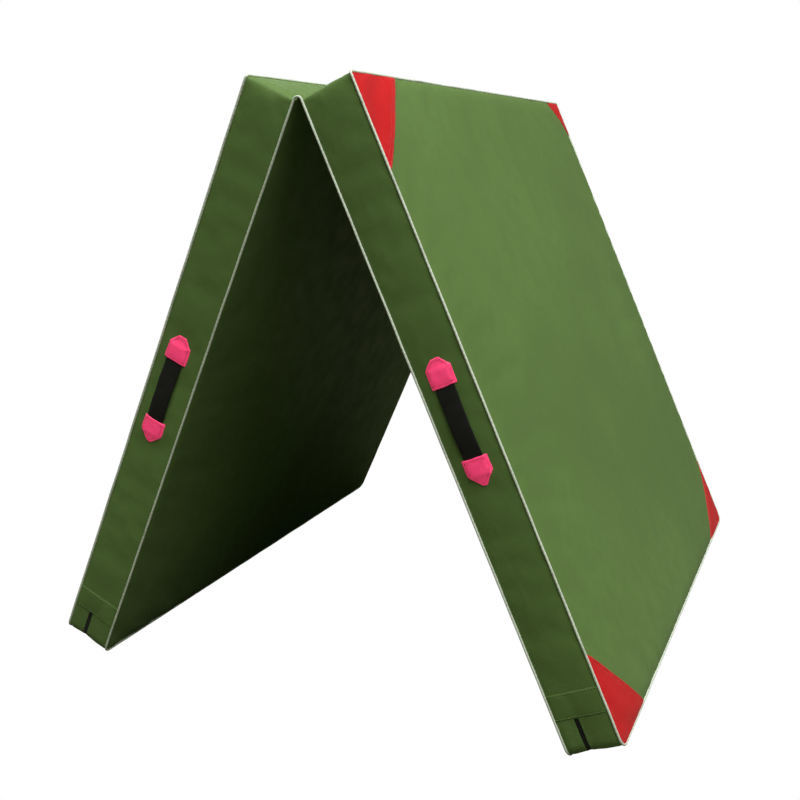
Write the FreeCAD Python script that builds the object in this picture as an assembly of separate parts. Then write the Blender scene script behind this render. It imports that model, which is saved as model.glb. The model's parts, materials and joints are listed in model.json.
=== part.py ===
import FreeCAD, Part
import math
import os

from FreeCAD import Vector

# A folding landing mat of two foam panels, standing as an inverted V (millimetres).
# World frame: +Z up, +Y along the fold away from the near side, +X right, origin on the floor
# under the middle of the fold.
# Panel frame: u runs down the panel from the fold, w lies along the fold, and v runs from the
# inner face outward. Panels are drawn there and placed in the world at the end.

# Driving dimensions
HALF_ANGLE = 24.0  # each panel's lean from vertical
PANEL_LENGTH = 1000.0  # from the fold line to the piping at the free end
MAT_WIDTH = 1020.0  # along the fold, over the piping
THICKNESS = 86.0
PIPING_DIAMETER = 3.6
FOLD_GAP_V = 2.0  # fold line to inner face
FOLD_GAP_U = 5.6  # fold line to the hinge-end face
HINGE_CORNER_RADIUS = 4.0
FREE_CORNER_RADIUS = 15.0

# Cover fabric and foam
FABRIC = 1.2
SEAM_CLEARANCE = 0.1
PIPING_FROM_WEB = 0.4  # straight piping starts this far past the hinge-end face
COVER_TO_PIPING = 0.3
CORE_GAP = 4.0  # slack between cover and foam, all round
FIRM_LAYER = 25.0
CORNER_LEG = 142.0  # red corner piece, along each edge
SHORT_CORNER_LEG = 76.0  # the one at the fold's far end

# Zip, round the free end
ZIP_FROM_INNER_FACE = {"right": 34.0, "left": 50.0}
ZIP_SIDE_RUN = 54.0  # visible slot up each side face
ZIP_COVER_LENGTH = 42.0
ZIP_SLOT = 10.5
TEETH_WIDTH = 6.0
TEETH_THICKNESS = 3.0
TEETH_DEPTH = 0.4  # tooth tops lie this far below the gusset's surface
TAPE_WIDTH = 12.5
TAPE_THICKNESS = 0.6
SLIDER_LENGTH = 13.0
SLIDER_WIDTH = 9.4
SLIDER_PLATE = 1.6
SLIDER_LIFT = 0.3  # running clearance over the teeth
FLANGE_THICKNESS = 1.3
FLANGE_DEPTH = 0.9
BAIL_WIDTH = 2.4
BAIL_RADIUS = 2.3
PIN_RADIUS = 0.8
PIN_CLEARANCE = 0.3
PIN_TO_PLATE = 0.2  # the eye's edge, off the slider's plate
PIN_INSET = 0.5  # pin's ends, inside the pull's edges
FORK_CLEARANCE = 0.4
PULL_LENGTH = 24.0
PULL_WIDTH = 7.0
PULL_THICKNESS = 1.6
PULL_SLOT_END = 3.2  # fork slot's end, past the pin
FLOOR_CLEARANCE = 0.4  # under the pull's tip
SLIDER_PARK = 24.0  # slider's centre, short of the far corner's start

# Carry handles
HANDLE_FROM_FOLD = 496.0
HANDLE_FROM_INNER_FACE = {"right": 40.5, "left": 48.0}
WEBBING_WIDTH = 30.0
WEBBING_THICKNESS = 2.0
WEBBING_HALF_LENGTH = 79.0
GRIP_HALF_LENGTH = 52.0
GRIP_RISE = 7.0  # finger gap at mid grip
PATCH_LENGTH = 42.0
PATCH_WIDTH = 41.0
PATCH_SHOULDER = 24.0  # straight sides, before the point
PATCH_TO_GRIP = 0.5
PATCH_THICKNESS = 1.2

# Derived places, in the panel frame
LEAN = math.radians(HALF_ANGLE)
PIPING_RADIUS = PIPING_DIAMETER / 2
PIPING_OUT = SEAM_CLEARANCE + PIPING_RADIUS  # piping's centre, out from the gusset's surface
U_TOP = FOLD_GAP_U
U_END = PANEL_LENGTH - PIPING_OUT - PIPING_RADIUS
V_IN = FOLD_GAP_V
V_OUT = FOLD_GAP_V + THICKNESS
W_SIDE = MAT_WIDTH / 2 - PIPING_OUT - PIPING_RADIUS
V_INNER_PIPING = V_IN + PIPING_RADIUS
U_INNER_PIPING = FOLD_GAP_U + PIPING_FROM_WEB
U_ZIP_COVER = U_END - ZIP_SIDE_RUN - ZIP_COVER_LENGTH
SEAM_TO_PIPING = PIPING_DIAMETER + COVER_TO_PIPING
FOLD_HEIGHT = (U_END + PIPING_OUT) * math.cos(LEAN) - V_INNER_PIPING * math.sin(LEAN) + PIPING_RADIUS
NEAR = -1.0
FAR = 1.0
BEYOND = 1.0  # cutting boxes reach this far past what they cut
SMALLEST_RADIUS = 0.5  # tighter corners are left square
TINY = 1e-6


def box(u0, u1, w0, w1, v0, v1):
    corner = Vector(min(u0, u1), min(w0, w1), min(v0, v1))
    return Part.makeBox(abs(u1 - u0), abs(w1 - w0), abs(v1 - v0), corner)


def outline_slab(inset, v0, v1):
    """The panel's plan outline, moved in by inset, from v0 to v1."""
    slab = box(U_TOP + inset, U_END - inset, -W_SIDE + inset, W_SIDE - inset, v0, v1)
    for radius, at_hinge in ((HINGE_CORNER_RADIUS, True), (FREE_CORNER_RADIUS, False)):
        if radius - inset > SMALLEST_RADIUS:
            slab = slab.makeFillet(radius - inset, corner_edges(slab, at_hinge))
    return slab


def corner_edges(slab, at_hinge):
    """The slab's upright corner edges, at the hinge end or at the free end."""
    middle = (U_TOP + U_END) / 2
    return [
        edge
        for edge in slab.Edges
        if edge.BoundBox.XLength < TINY
        and edge.BoundBox.YLength < TINY
        and (edge.BoundBox.XMin < middle) == at_hinge
    ]


def wall(inset, thickness, v0, v1):
    """A wall that follows the outline, from inset to inset + thickness."""
    return outline_slab(inset, v0, v1).cut(outline_slab(inset + thickness, v0, v1))


def foam():
    """The sponge core and the firmer layer over it."""
    split = V_OUT - FABRIC - FIRM_LAYER
    return {
        "soft_core": outline_slab(CORE_GAP, V_IN + FABRIC, split),
        "firm_layer": outline_slab(CORE_GAP, split, V_OUT - FABRIC),
    }


def corner_triangle(u_corner, u_sign, side):
    """A right-angled prism at one corner of the outer face."""
    w_corner = side * W_SIDE
    leg = SHORT_CORNER_LEG if u_sign > 0 and side == FAR else CORNER_LEG
    points = [
        Vector(u_corner, w_corner, V_OUT - FABRIC),
        Vector(u_corner + u_sign * leg, w_corner, V_OUT - FABRIC),
        Vector(u_corner, w_corner - side * leg, V_OUT - FABRIC),
    ]
    face = Part.Face(Part.makePolygon(points + points[:1]))
    return face.extrude(Vector(0, 0, FABRIC))


def cover_faces():
    """Outer cover, its four corner pieces and the inner cover."""
    outer = outline_slab(0, V_OUT - FABRIC, V_OUT)
    pieces = {"inner_cover": outline_slab(0, V_IN, V_IN + FABRIC)}
    for end, u_corner, u_sign in (("top", U_TOP, 1), ("bottom", U_END, -1)):
        for name, side in (("near", NEAR), ("far", FAR)):
            triangle = corner_triangle(u_corner, u_sign, side)
            pieces[f"corner_{end}_{name}"] = outer.common(triangle)
    cut = outer
    for name in list(pieces)[1:]:
        cut = cut.cut(pieces[name])
    pieces["outer_cover"] = cut
    return pieces


def gussets(zip_v):
    """Side walls of the cover: two plain sides, the hinge end, and two strips round the zip."""
    v0, v1 = V_IN + FABRIC, V_OUT - FABRIC
    wide = W_SIDE + BEYOND
    u_hinge_end = U_TOP + HINGE_CORNER_RADIUS
    plain = wall(0, FABRIC, v0, v1)
    pieces = {"hinge_end_gusset": plain.common(box(0, u_hinge_end, -wide, wide, v0, v1))}
    for name, side in (("near", NEAR), ("far", FAR)):
        pieces[f"side_gusset_{name}"] = plain.common(box(u_hinge_end, U_ZIP_COVER, 0, side * wide, v0, v1))
    strips = {"zip_gusset_outer": (zip_v + ZIP_SLOT / 2, v1), "zip_gusset_inner": (v0, zip_v - ZIP_SLOT / 2)}
    for name, (low, high) in strips.items():
        strip = wall(0, FABRIC, low, high)
        pieces[name] = strip.common(box(U_ZIP_COVER, U_END + BEYOND, -wide, wide, low, high))
    return pieces


def zip_runs(zip_v):
    """Tape halves and tooth chain, round the free end and up under the zip covers."""
    wide = W_SIDE + BEYOND
    low, high = zip_v - TEETH_WIDTH / 2, zip_v + TEETH_WIDTH / 2
    end = box(U_ZIP_COVER, U_END + BEYOND, -wide, wide, V_IN, V_OUT)
    teeth = wall(TEETH_DEPTH, TEETH_THICKNESS, low, high).common(end)
    halves = [
        wall(FABRIC, TAPE_THICKNESS, v0, v1).common(end)
        for v0, v1 in ((low - TAPE_WIDTH, low), (high, high + TAPE_WIDTH))
    ]
    return {"zip_teeth": teeth, "zip_tape": Part.makeCompound(halves)}


def zip_covers():
    """Fabric rectangles over the zip's ends, one on each side face."""
    pieces = {}
    for name, side in (("near", NEAR), ("far", FAR)):
        w0, w1 = side * W_SIDE, side * (W_SIDE + FABRIC)
        v0, v1 = V_IN + SEAM_TO_PIPING, V_OUT - SEAM_TO_PIPING
        pieces[f"zip_cover_{name}"] = box(U_ZIP_COVER, U_ZIP_COVER + ZIP_COVER_LENGTH, w0, w1, v0, v1)
    return pieces


def swept(start, edges):
    """A round cord of the piping's diameter along edges, which set off from start along u."""
    circle = Part.Wire(Part.Circle(start, Vector(1, 0, 0), PIPING_RADIUS).toShape())
    return Part.Wire(edges).makePipeShell([circle], True, True)


def quarter(center, radius, start_deg, v):
    """A quarter turn in the panel's plane, centre (u, w), counted from +u towards +w."""
    def at(deg):
        angle = math.radians(deg)
        return Vector(center[0] + radius * math.cos(angle), center[1] + radius * math.sin(angle), v)

    return Part.Arc(at(start_deg), at(start_deg + 45), at(start_deg + 90))


def piping_path(v, closed):
    """Edges of the piping's centre line: a U from the fold, or a closed loop, at height v."""
    w = W_SIDE + PIPING_OUT
    u_end = U_END + PIPING_OUT
    round_free = FREE_CORNER_RADIUS + PIPING_OUT
    round_hinge = HINGE_CORNER_RADIUS + PIPING_OUT
    near_free = quarter((u_end - round_free, -w + round_free), round_free, -90, v)
    far_free = quarter((u_end - round_free, w - round_free), round_free, 0, v)
    u_start = U_TOP - PIPING_OUT + round_hinge if closed else U_INNER_PIPING
    near_start = Vector(u_start, -w, v)
    far_start = Vector(u_start, w, v)
    curves = [
        Part.LineSegment(near_start, near_free.StartPoint),
        near_free,
        Part.LineSegment(near_free.EndPoint, far_free.StartPoint),
        far_free,
        Part.LineSegment(far_free.EndPoint, far_start),
    ]
    if closed:
        far_hinge = quarter((u_start, w - round_hinge), round_hinge, 90, v)
        near_hinge = quarter((u_start, -w + round_hinge), round_hinge, 180, v)
        curves += [far_hinge, Part.LineSegment(far_hinge.EndPoint, near_hinge.StartPoint), near_hinge]
    return near_start, [curve.toShape() for curve in curves]


def piping():
    return {
        "inner_piping": swept(*piping_path(V_INNER_PIPING, closed=False)),
        "outer_piping": swept(*piping_path(V_OUT - PIPING_RADIUS, closed=True)),
    }


def webbing():
    """The handle's strap, in its own frame: x along it, y out from the side face, z across."""
    def across(y_flat, y_mid):
        return (
            Vector(-WEBBING_HALF_LENGTH, y_flat, 0),
            Vector(-GRIP_HALF_LENGTH, y_flat, 0),
            Vector(0, y_mid, 0),
            Vector(GRIP_HALF_LENGTH, y_flat, 0),
            Vector(WEBBING_HALF_LENGTH, y_flat, 0),
        )

    edges = []
    inner = across(0, GRIP_RISE)
    outer = across(WEBBING_THICKNESS, GRIP_RISE + WEBBING_THICKNESS)
    for a, b, c, d, e in (inner, outer):
        edges += [Part.LineSegment(a, b), Part.Arc(b, c, d), Part.LineSegment(d, e)]
    edges += [Part.LineSegment(inner[0], outer[0]), Part.LineSegment(inner[4], outer[4])]
    face = Part.Face(Part.Wire(Part.__sortEdges__([edge.toShape() for edge in edges])))
    face.translate(Vector(0, 0, -WEBBING_WIDTH / 2))
    return face.extrude(Vector(0, 0, WEBBING_WIDTH))


def handle_patch():
    """A house-shaped patch over the strap's +x end, with its point away from the grip."""
    start = GRIP_HALF_LENGTH + PATCH_TO_GRIP
    half = PATCH_WIDTH / 2
    points = [
        Vector(start, 0, -half),
        Vector(start + PATCH_SHOULDER, 0, -half),
        Vector(start + PATCH_LENGTH, 0, 0),
        Vector(start + PATCH_SHOULDER, 0, half),
        Vector(start, 0, half),
    ]
    face = Part.Face(Part.makePolygon(points + points[:1]))
    patch = face.extrude(Vector(0, WEBBING_THICKNESS + PATCH_THICKNESS, 0))
    strap_end = box(0, WEBBING_HALF_LENGTH, -BEYOND, WEBBING_THICKNESS, -WEBBING_WIDTH / 2, WEBBING_WIDTH / 2)
    return patch.cut(strap_end)


def handles(handle_v):
    """Strap and patches on both side faces."""
    pieces = {}
    for name, side, turn in (("near", NEAR, 180), ("far", FAR, 0)):
        lower = 0 if turn == 0 else 180  # the patch drawn at +x lies further from the fold
        parts = {
            f"handle_webbing_{name}": webbing(),
            f"handle_patch_{name}_lower": handle_patch().rotated(Vector(), Vector(0, 1, 0), lower),
            f"handle_patch_{name}_upper": handle_patch().rotated(Vector(), Vector(0, 1, 0), 180 - lower),
        }
        for key, shape in parts.items():
            turned = shape.rotated(Vector(), Vector(0, 0, 1), turn)
            pieces[key] = turned.translated(Vector(HANDLE_FROM_FOLD, side * W_SIDE, handle_v))
    return pieces


def slider_place(zip_v):
    """The pull's pin centre in the panel frame, at the slider's parked place."""
    u_pin = U_END + SLIDER_LIFT - TEETH_DEPTH + SLIDER_PLATE + PIN_RADIUS + PIN_CLEARANCE + PIN_TO_PLATE
    return Vector(u_pin, W_SIDE - FREE_CORNER_RADIUS - SLIDER_PARK, zip_v)


def zip_slider(zip_v):
    """Slider body over the teeth: plate, two flanges, and the bail that holds the pull."""
    pin = slider_place(zip_v)
    u0 = U_END + SLIDER_LIFT - TEETH_DEPTH
    w0, w1 = pin.y - SLIDER_LENGTH / 2, pin.y + SLIDER_LENGTH / 2
    half = SLIDER_WIDTH / 2
    body = box(u0, u0 + SLIDER_PLATE, w0, w1, zip_v - half, zip_v + half)
    for edge in (-half, half - FLANGE_THICKNESS):
        body = body.fuse(box(u0 - FLANGE_DEPTH, u0, w0, w1, zip_v + edge, zip_v + edge + FLANGE_THICKNESS))
    foot = box(u0 + SLIDER_PLATE, pin.x, pin.y - BAIL_RADIUS, pin.y + BAIL_RADIUS, zip_v - BAIL_WIDTH / 2,
               zip_v + BAIL_WIDTH / 2)
    base = Vector(pin.x, pin.y, zip_v - BAIL_WIDTH / 2)
    arch = Part.makeCylinder(BAIL_RADIUS, BAIL_WIDTH, base, Vector(0, 0, 1))
    eye = Part.makeCylinder(PIN_RADIUS + PIN_CLEARANCE, BAIL_WIDTH, base, Vector(0, 0, 1))
    return body.fuse([foot, arch]).cut(eye).removeSplitter()


def pull_lean(zip_v):
    """Degrees from hanging square to the end face until the pull's tip is just off the floor."""
    pin = slider_place(zip_v)
    drop = FOLD_HEIGHT - pin.x * math.cos(LEAN) + zip_v * math.sin(LEAN) - FLOOR_CLEARANCE
    drop -= PULL_WIDTH / 2 * math.sin(LEAN) + PULL_THICKNESS / 2 * math.cos(LEAN)
    return math.degrees(math.acos(min(1.0, drop / (PULL_LENGTH * math.cos(LEAN)))))


def zip_pull(zip_v):
    """The pull tab: a plate with a fork and a pin through the slider's bail."""
    pin = slider_place(zip_v)
    half, thin = PULL_WIDTH / 2, PULL_THICKNESS / 2
    gap = BAIL_WIDTH / 2 + FORK_CLEARANCE
    plate = box(-thin, PULL_LENGTH - half, -thin, thin, -half, half)
    tip = Part.makeCylinder(half, PULL_THICKNESS, Vector(PULL_LENGTH - half, -thin, 0), Vector(0, 1, 0))
    slot = box(-thin - BEYOND, PULL_SLOT_END, -thin, thin, -gap, gap)
    pin_length = PULL_WIDTH - 2 * PIN_INSET
    bar = Part.makeCylinder(PIN_RADIUS, pin_length, Vector(0, 0, -pin_length / 2), Vector(0, 0, 1))
    pull = plate.fuse(tip).cut(slot).fuse(bar).removeSplitter()
    return pull.rotated(Vector(), Vector(0, 0, 1), -pull_lean(zip_v)).translated(pin)


def panel(name):
    """Every piece of one panel, in the panel frame."""
    zip_v = ZIP_FROM_INNER_FACE[name] + V_IN
    pieces = {}
    for group in (
        foam(),
        cover_faces(),
        gussets(zip_v),
        zip_runs(zip_v),
        zip_covers(),
        piping(),
        handles(HANDLE_FROM_INNER_FACE[name] + V_IN),
        {"zip_slider": zip_slider(zip_v), "zip_pull": zip_pull(zip_v)},
    ):
        pieces.update(group)
    return pieces


def to_world(shape, name):
    """Leans a panel as the right one, and mirrors it for the left one."""
    placed = shape.rotated(Vector(), Vector(0, 1, 0), 90 - HALF_ANGLE).translated(Vector(0, 0, FOLD_HEIGHT))
    return placed if name == "right" else placed.mirror(Vector(), Vector(1, 0, 0))


def fold_bend(section, radius, tangent_u):
    """Turns a section round the fold, from the left panel's face to the right one's."""
    center = Vector(0, 0, FOLD_HEIGHT - tangent_u / math.cos(LEAN))
    section.translate(center + Vector(-radius, 0, 0))
    section.rotate(center, Vector(0, 1, 0), HALF_ANGLE)
    return section.revolve(center, Vector(0, 1, 0), 180 - 2 * HALF_ANGLE)


def fold_pieces():
    """The fabric that runs over the fold, and the bent piping at its two ends."""
    web_radius = V_IN + U_TOP * math.tan(LEAN)
    half = W_SIDE - HINGE_CORNER_RADIUS
    strip = Part.makePlane(FABRIC, 2 * half, Vector(-FABRIC, -half, 0), Vector(0, 0, 1))
    pieces = {"fold_web": fold_bend(strip, web_radius, U_TOP)}
    cord_radius = V_INNER_PIPING + U_INNER_PIPING * math.tan(LEAN)
    for name, side in (("near", NEAR), ("far", FAR)):
        circle = Part.Circle(Vector(0, side * (W_SIDE + PIPING_OUT), 0), Vector(0, 0, 1), PIPING_RADIUS)
        section = Part.Face(Part.Wire(circle.toShape()))
        pieces[f"fold_piping_{name}"] = fold_bend(section, cord_radius, U_INNER_PIPING)
    return pieces


def main():
    os.makedirs("parts", exist_ok=True)
    nodes = fold_pieces()
    for name in ("right", "left"):
        for piece, shape in panel(name).items():
            nodes[f"{name}_{piece}"] = to_world(shape, name)
    for node, shape in nodes.items():
        shape.exportStep(f"parts/{node}.step")


main()
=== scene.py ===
"""A folding landing mat: two padded panels joined along one fold, standing as an inverted V.

Panel coordinates are (u, w, v), in metres: u runs down a panel from the fold, w lies along the
fold, away from the camera, and v runs from the inner face outward. The left panel is the mirror
image of the right one, apart from the heights of its handles and zip.
"""

import json
import math

import bmesh
import bpy
import numpy as np
from mathutils import Matrix, Vector


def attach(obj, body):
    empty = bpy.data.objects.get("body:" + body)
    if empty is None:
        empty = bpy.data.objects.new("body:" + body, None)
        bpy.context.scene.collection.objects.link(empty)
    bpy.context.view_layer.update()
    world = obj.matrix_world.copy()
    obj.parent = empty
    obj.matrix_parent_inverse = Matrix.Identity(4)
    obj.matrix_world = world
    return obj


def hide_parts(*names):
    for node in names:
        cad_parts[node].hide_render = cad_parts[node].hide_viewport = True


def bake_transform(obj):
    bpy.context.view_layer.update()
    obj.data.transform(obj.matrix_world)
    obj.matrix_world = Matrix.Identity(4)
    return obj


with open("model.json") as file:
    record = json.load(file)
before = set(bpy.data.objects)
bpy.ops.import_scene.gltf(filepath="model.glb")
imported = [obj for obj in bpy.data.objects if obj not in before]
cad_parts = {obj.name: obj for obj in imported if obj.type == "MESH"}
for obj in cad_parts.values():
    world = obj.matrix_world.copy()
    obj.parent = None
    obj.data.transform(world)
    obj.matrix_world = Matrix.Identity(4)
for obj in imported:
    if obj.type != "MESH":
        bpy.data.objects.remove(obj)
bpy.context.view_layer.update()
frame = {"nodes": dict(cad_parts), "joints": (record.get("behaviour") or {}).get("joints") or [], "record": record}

# ---- the frame's dimensions
MM = 0.001
SIDES = {"right": 1.0, "left": -1.0}
ENDS = {"near": -1, "far": 1}  # which way each side face looks along w
FOLD_Z = next(j["pos_m"][2] for j in frame["joints"] if j["name"] == "fold")
OUTWARD = next(m["axis"] for m in frame["record"]["mounts"] if m["name"] == "right_outer_face")
COS, SIN = OUTWARD[0], OUTWARD[2]


def to_world(points, side):
    """Panel coordinates to the frame's."""
    u, w, v = np.moveaxis(np.asarray(points, float), -1, 0)
    x = u * SIN + v * COS
    return np.stack((SIDES[side] * x, w, FOLD_Z - u * COS + v * SIN), -1)


def vertices(node):
    """A panel's CAD node's vertices as (u, w, v)."""
    side = node.split("_")[0]
    co = np.array([v.co for v in frame["nodes"][node].data.vertices])
    x, drop = SIDES[side] * co[:, 0], FOLD_Z - co[:, 2]
    return np.stack((x * SIN + drop * COS, co[:, 1], x * COS - drop * SIN), -1)


def extent(node):
    """Lowest and highest (u, w, v) of a panel's CAD node."""
    points = vertices(node)
    return points.min(0), points.max(0)


COVER_LO, COVER_HI = extent("right_outer_cover")
U0, U1 = COVER_LO[0], COVER_HI[0]
W1 = COVER_HI[1]
V1 = COVER_HI[2]
V0 = extent("right_inner_cover")[0][2]
PIPING_LO, PIPING_HI = extent("right_outer_piping")
PIPE_R = (PIPING_HI[2] - PIPING_LO[2]) / 2
CORD_OUT = PIPING_HI[1] - W1 - PIPE_R
U_PIPE_START = extent("right_inner_piping")[0][0]
GARAGE_LO, GARAGE_HI = extent("right_zip_cover_far")
STRAP_LO, STRAP_HI = extent("right_handle_webbing_far")
PATCH = vertices("right_handle_patch_far_lower")
PATCH_LO, PATCH_HI = PATCH.min(0), PATCH.max(0)
PATCH_SHOULDER = PATCH[PATCH[:, 2] > PATCH_HI[2] - 0.1 * MM, 0].max() - PATCH_LO[0]
HANDLE_U = (STRAP_LO[0] + STRAP_HI[0]) / 2
STRAP_HALF = (STRAP_HI[0] - STRAP_LO[0]) / 2
STRAP_WIDTH = STRAP_HI[2] - STRAP_LO[2]
STRAP_THICK = 2 * MM
GRIP_RISE = STRAP_HI[1] - W1 - STRAP_THICK
GRIP_HALF = PATCH_LO[0] - HANDLE_U
GRIP_TAUT = 0.45  # the strap's bow, as a share of the room under it

# ---- what the CAD leaves to this script
R_HINGE = 4 * MM
R_FREE = 15 * MM
SEAM_DROP = PIPE_R  # the seams lie level with the piping's centre
SUNK = 1.0 * MM  # and draw the piping in by this much
ZIP_SLOT_HALF = 3.7 * MM
FREE_END_BULGE = 1.5 * MM
FOLDED_GAP = math.radians(1)  # left between the panels when the mat is folded shut
PIPE_OUT = CORD_OUT - SUNK
WEB_DROP = 0.6 * MM
SWELL = {"outer": 4.5 * MM, "inner": 3.5 * MM, "wall": 3.2 * MM}
PUCKER = 0.28 * MM
WRINKLE = {"outer": 0.5 * MM, "inner": 0.8 * MM, "wall": 0.5 * MM}
UNEVEN = {"outer": 0.4 * MM, "inner": 0.7 * MM}
FOLDED_CLEARANCE = 0.3 * MM  # left under the inner faces where the folded panels meet
ZIP_SLOT_DEPTH = 3.6 * MM
HEM = 4 * MM  # from the edge of a sewn-on piece to its seam
TURNED_IN = 5 * MM  # cloth turned under along each edge
HEM_LINES = tuple(d * MM for d in (0.7, 1.4, 3, 4, 5))  # where a hem's mesh has its lines
PATCH_LINES = tuple(d * MM for d in (0.6, 1.2, 3, 4, 5))


def smooth(x):
    """Smoothstep of x between 0 and 1."""
    x = np.clip(x, 0, 1)
    return x * x * (3 - 2 * x)


def ripple(x, seed, shortest=14 * MM, longest=45 * MM, waves=7):
    """Seeded uneven waves along x, between about -1 and 1."""
    rng = np.random.default_rng(seed)
    lengths = rng.uniform(shortest, longest, waves)
    phases = rng.uniform(0, 2 * math.pi, waves)
    parts = [np.sin(2 * math.pi * x / length + phase) for length, phase in zip(lengths, phases)]
    return sum(parts) / math.sqrt(waves)


def new_object(name, data):
    obj = bpy.data.objects.new(name, data)
    bpy.context.scene.collection.objects.link(obj)
    return obj


def looped(rows):
    """Rows with the first one added again at the end."""
    return np.concatenate((rows, rows[:1]))


def lengths_along(points):
    """Distance from the first of a run of points to each of them."""
    return np.concatenate(([0], np.cumsum(np.linalg.norm(np.diff(points, axis=0), axis=1))))


def pairs(xs, ys):
    """Every (x, y), with y changing fastest."""
    return np.stack(np.meshgrid(xs, ys, indexing="ij"), -1).reshape(-1, 2)


def numbered(rows, columns):
    """Vertex numbers of a table of points."""
    return np.arange(rows * columns).reshape(rows, columns)


def quads(table):
    """Quads between neighbours in a table of vertex numbers."""
    return np.stack((table[:-1, :-1], table[1:, :-1], table[1:, 1:], table[:-1, 1:]), -1).reshape(-1, 4)


# ---- the panel's grid
def grid_lines(start, end, first, last, step=12 * MM):
    """Lines from start to end, at the given offsets from each end and step apart between."""
    head = start + np.array(first) * MM
    tail = end - np.array(last[::-1]) * MM
    count = round((tail[0] - head[-1]) / step)
    return np.concatenate((head, np.linspace(head[-1], tail[0], count + 1)[1:-1], tail))


US = grid_lines(U0, U1, (0, 2, 4, 8, 13, 19, 26, 34, 43), (0, 4, 8, 12, 17, 23, 30, 38, 47))
SIDE_LINES = (0, 2, 4, 8, 12, 17, 23, 30, 38, 47)
WS = grid_lines(-W1, W1, SIDE_LINES, SIDE_LINES)
ROWS = np.linspace(0, 1, 15)
NU, NW = len(US), len(WS)
FACE = NU * NW
LOOP = (
    [(i, 0) for i in range(NU - 1)]
    + [(NU - 1, j) for j in range(NW - 1)]
    + [(i, NW - 1) for i in range(NU - 1, 0, -1)]
    + [(0, j) for j in range(NW - 1, 0, -1)]
)


def rounded(u, w):
    """Moves plan points in the square corner zones onto the rounded outline."""
    for radius, u_corner, sign in ((R_HINGE, U0, 1), (R_FREE, U1, -1)):
        u_centre, w_centre = u_corner + sign * radius, W1 - radius
        x, y = (u_centre - u) * sign, np.abs(w) - w_centre
        inside = (x > 0) & (y > 0)
        share = np.maximum(x, y) / np.maximum(np.hypot(x, y), 1e-9)
        u = np.where(inside, u_centre - sign * x * share, u)
        w = np.where(inside, np.sign(w) * (w_centre + y * share), w)
    return u, w


def inner_seam(u):
    """Height of the inner seam: level with the piping, but nearly flush at the fold web."""
    return V0 + WEB_DROP + (SEAM_DROP - WEB_DROP) * smooth((u - U0) / (40 * MM))


def row_heights(u, rows):
    """Heights of the wall's rows, from the inner seam to the outer one."""
    low = inner_seam(u)
    return low[:, None] + rows[None, :] * (V1 - SEAM_DROP - low)[:, None]


def pad_points(outer, inner, wall, rows):
    """Vertices of a panel's cover, given how far each point stands out from the flat form."""
    u, w = np.meshgrid(US, WS, indexing="ij")
    plan_u, plan_w = rounded(u, w)
    plan = LOOP_PLAN[:, None, :] + LOOP_NORMALS[:, None, :] * wall[:, 1:-1, None]
    heights = row_heights(LOOP_PLAN[:, 0], rows[1:-1])
    parts = (
        np.stack((plan_u, plan_w, V1 - SEAM_DROP + outer), -1),
        np.stack((plan_u, plan_w, inner_seam(u) - inner), -1),
        np.concatenate((plan, heights[..., None]), -1),
    )
    return np.concatenate([part.reshape(-1, 3) for part in parts])


LOOP_PLAN = np.array([rounded(US[i], WS[j]) for i, j in LOOP])
LOOP_S = lengths_along(looped(LOOP_PLAN))
LOOP_ALONG = np.roll(LOOP_PLAN, -1, 0) - np.roll(LOOP_PLAN, 1, 0)
LOOP_NORMALS = np.stack((LOOP_ALONG[:, 1], -LOOP_ALONG[:, 0]), -1)
LOOP_NORMALS /= np.linalg.norm(LOOP_NORMALS, axis=1, keepdims=True)
SEAM_VERTS = np.array([i * NW + j for i, j in LOOP])


def pad_faces(rows):
    """Quads of the outer face, the inner face and the wall, as three arrays."""
    outer = quads(np.arange(FACE).reshape(NU, NW))
    between = len(rows) - 2
    table = np.empty((len(LOOP), len(rows)), int)
    table[:, 0], table[:, -1] = SEAM_VERTS + FACE, SEAM_VERTS
    table[:, 1:-1] = 2 * FACE + np.arange(len(LOOP) * between).reshape(len(LOOP), between)
    return outer, outer[:, ::-1] + FACE, quads(looped(table))


# ---- the swell of the filled cover
def simulate(points, faces, pinned):
    """Inflates a closed cover with its seams pinned, and returns where its points end up."""
    scene = bpy.context.scene
    mesh = bpy.data.meshes.new("swell")
    mesh.from_pydata(points.tolist(), [], faces.tolist())
    obj = new_object("swell", mesh)
    obj.vertex_groups.new(name="seams").add(pinned, 1.0, "REPLACE")
    cloth = obj.modifiers.new("swell", "CLOTH")
    settings = dict(quality=4, mass=0.4, tension_stiffness=25, compression_stiffness=25)
    settings.update(shear_stiffness=12, bending_stiffness=2, vertex_group_mass="seams")
    settings.update(shrink_min=-0.012, use_pressure=True, uniform_pressure_force=4)
    for name, value in settings.items():
        setattr(cloth.settings, name, value)
    cloth.settings.effector_weights.gravity = 0
    cloth.collision_settings.use_collision = False
    for step in range(1, 21):
        scene.frame_set(step)
    evaluated = obj.evaluated_get(bpy.context.evaluated_depsgraph_get())
    shaped = evaluated.to_mesh()
    result = np.empty(len(points) * 3, np.float32)
    shaped.vertices.foreach_get("co", result)
    evaluated.to_mesh_clear()
    bpy.data.objects.remove(obj)
    bpy.data.meshes.remove(mesh)
    scene.frame_set(1)
    return result.reshape(-1, 3).astype(float)


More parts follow.
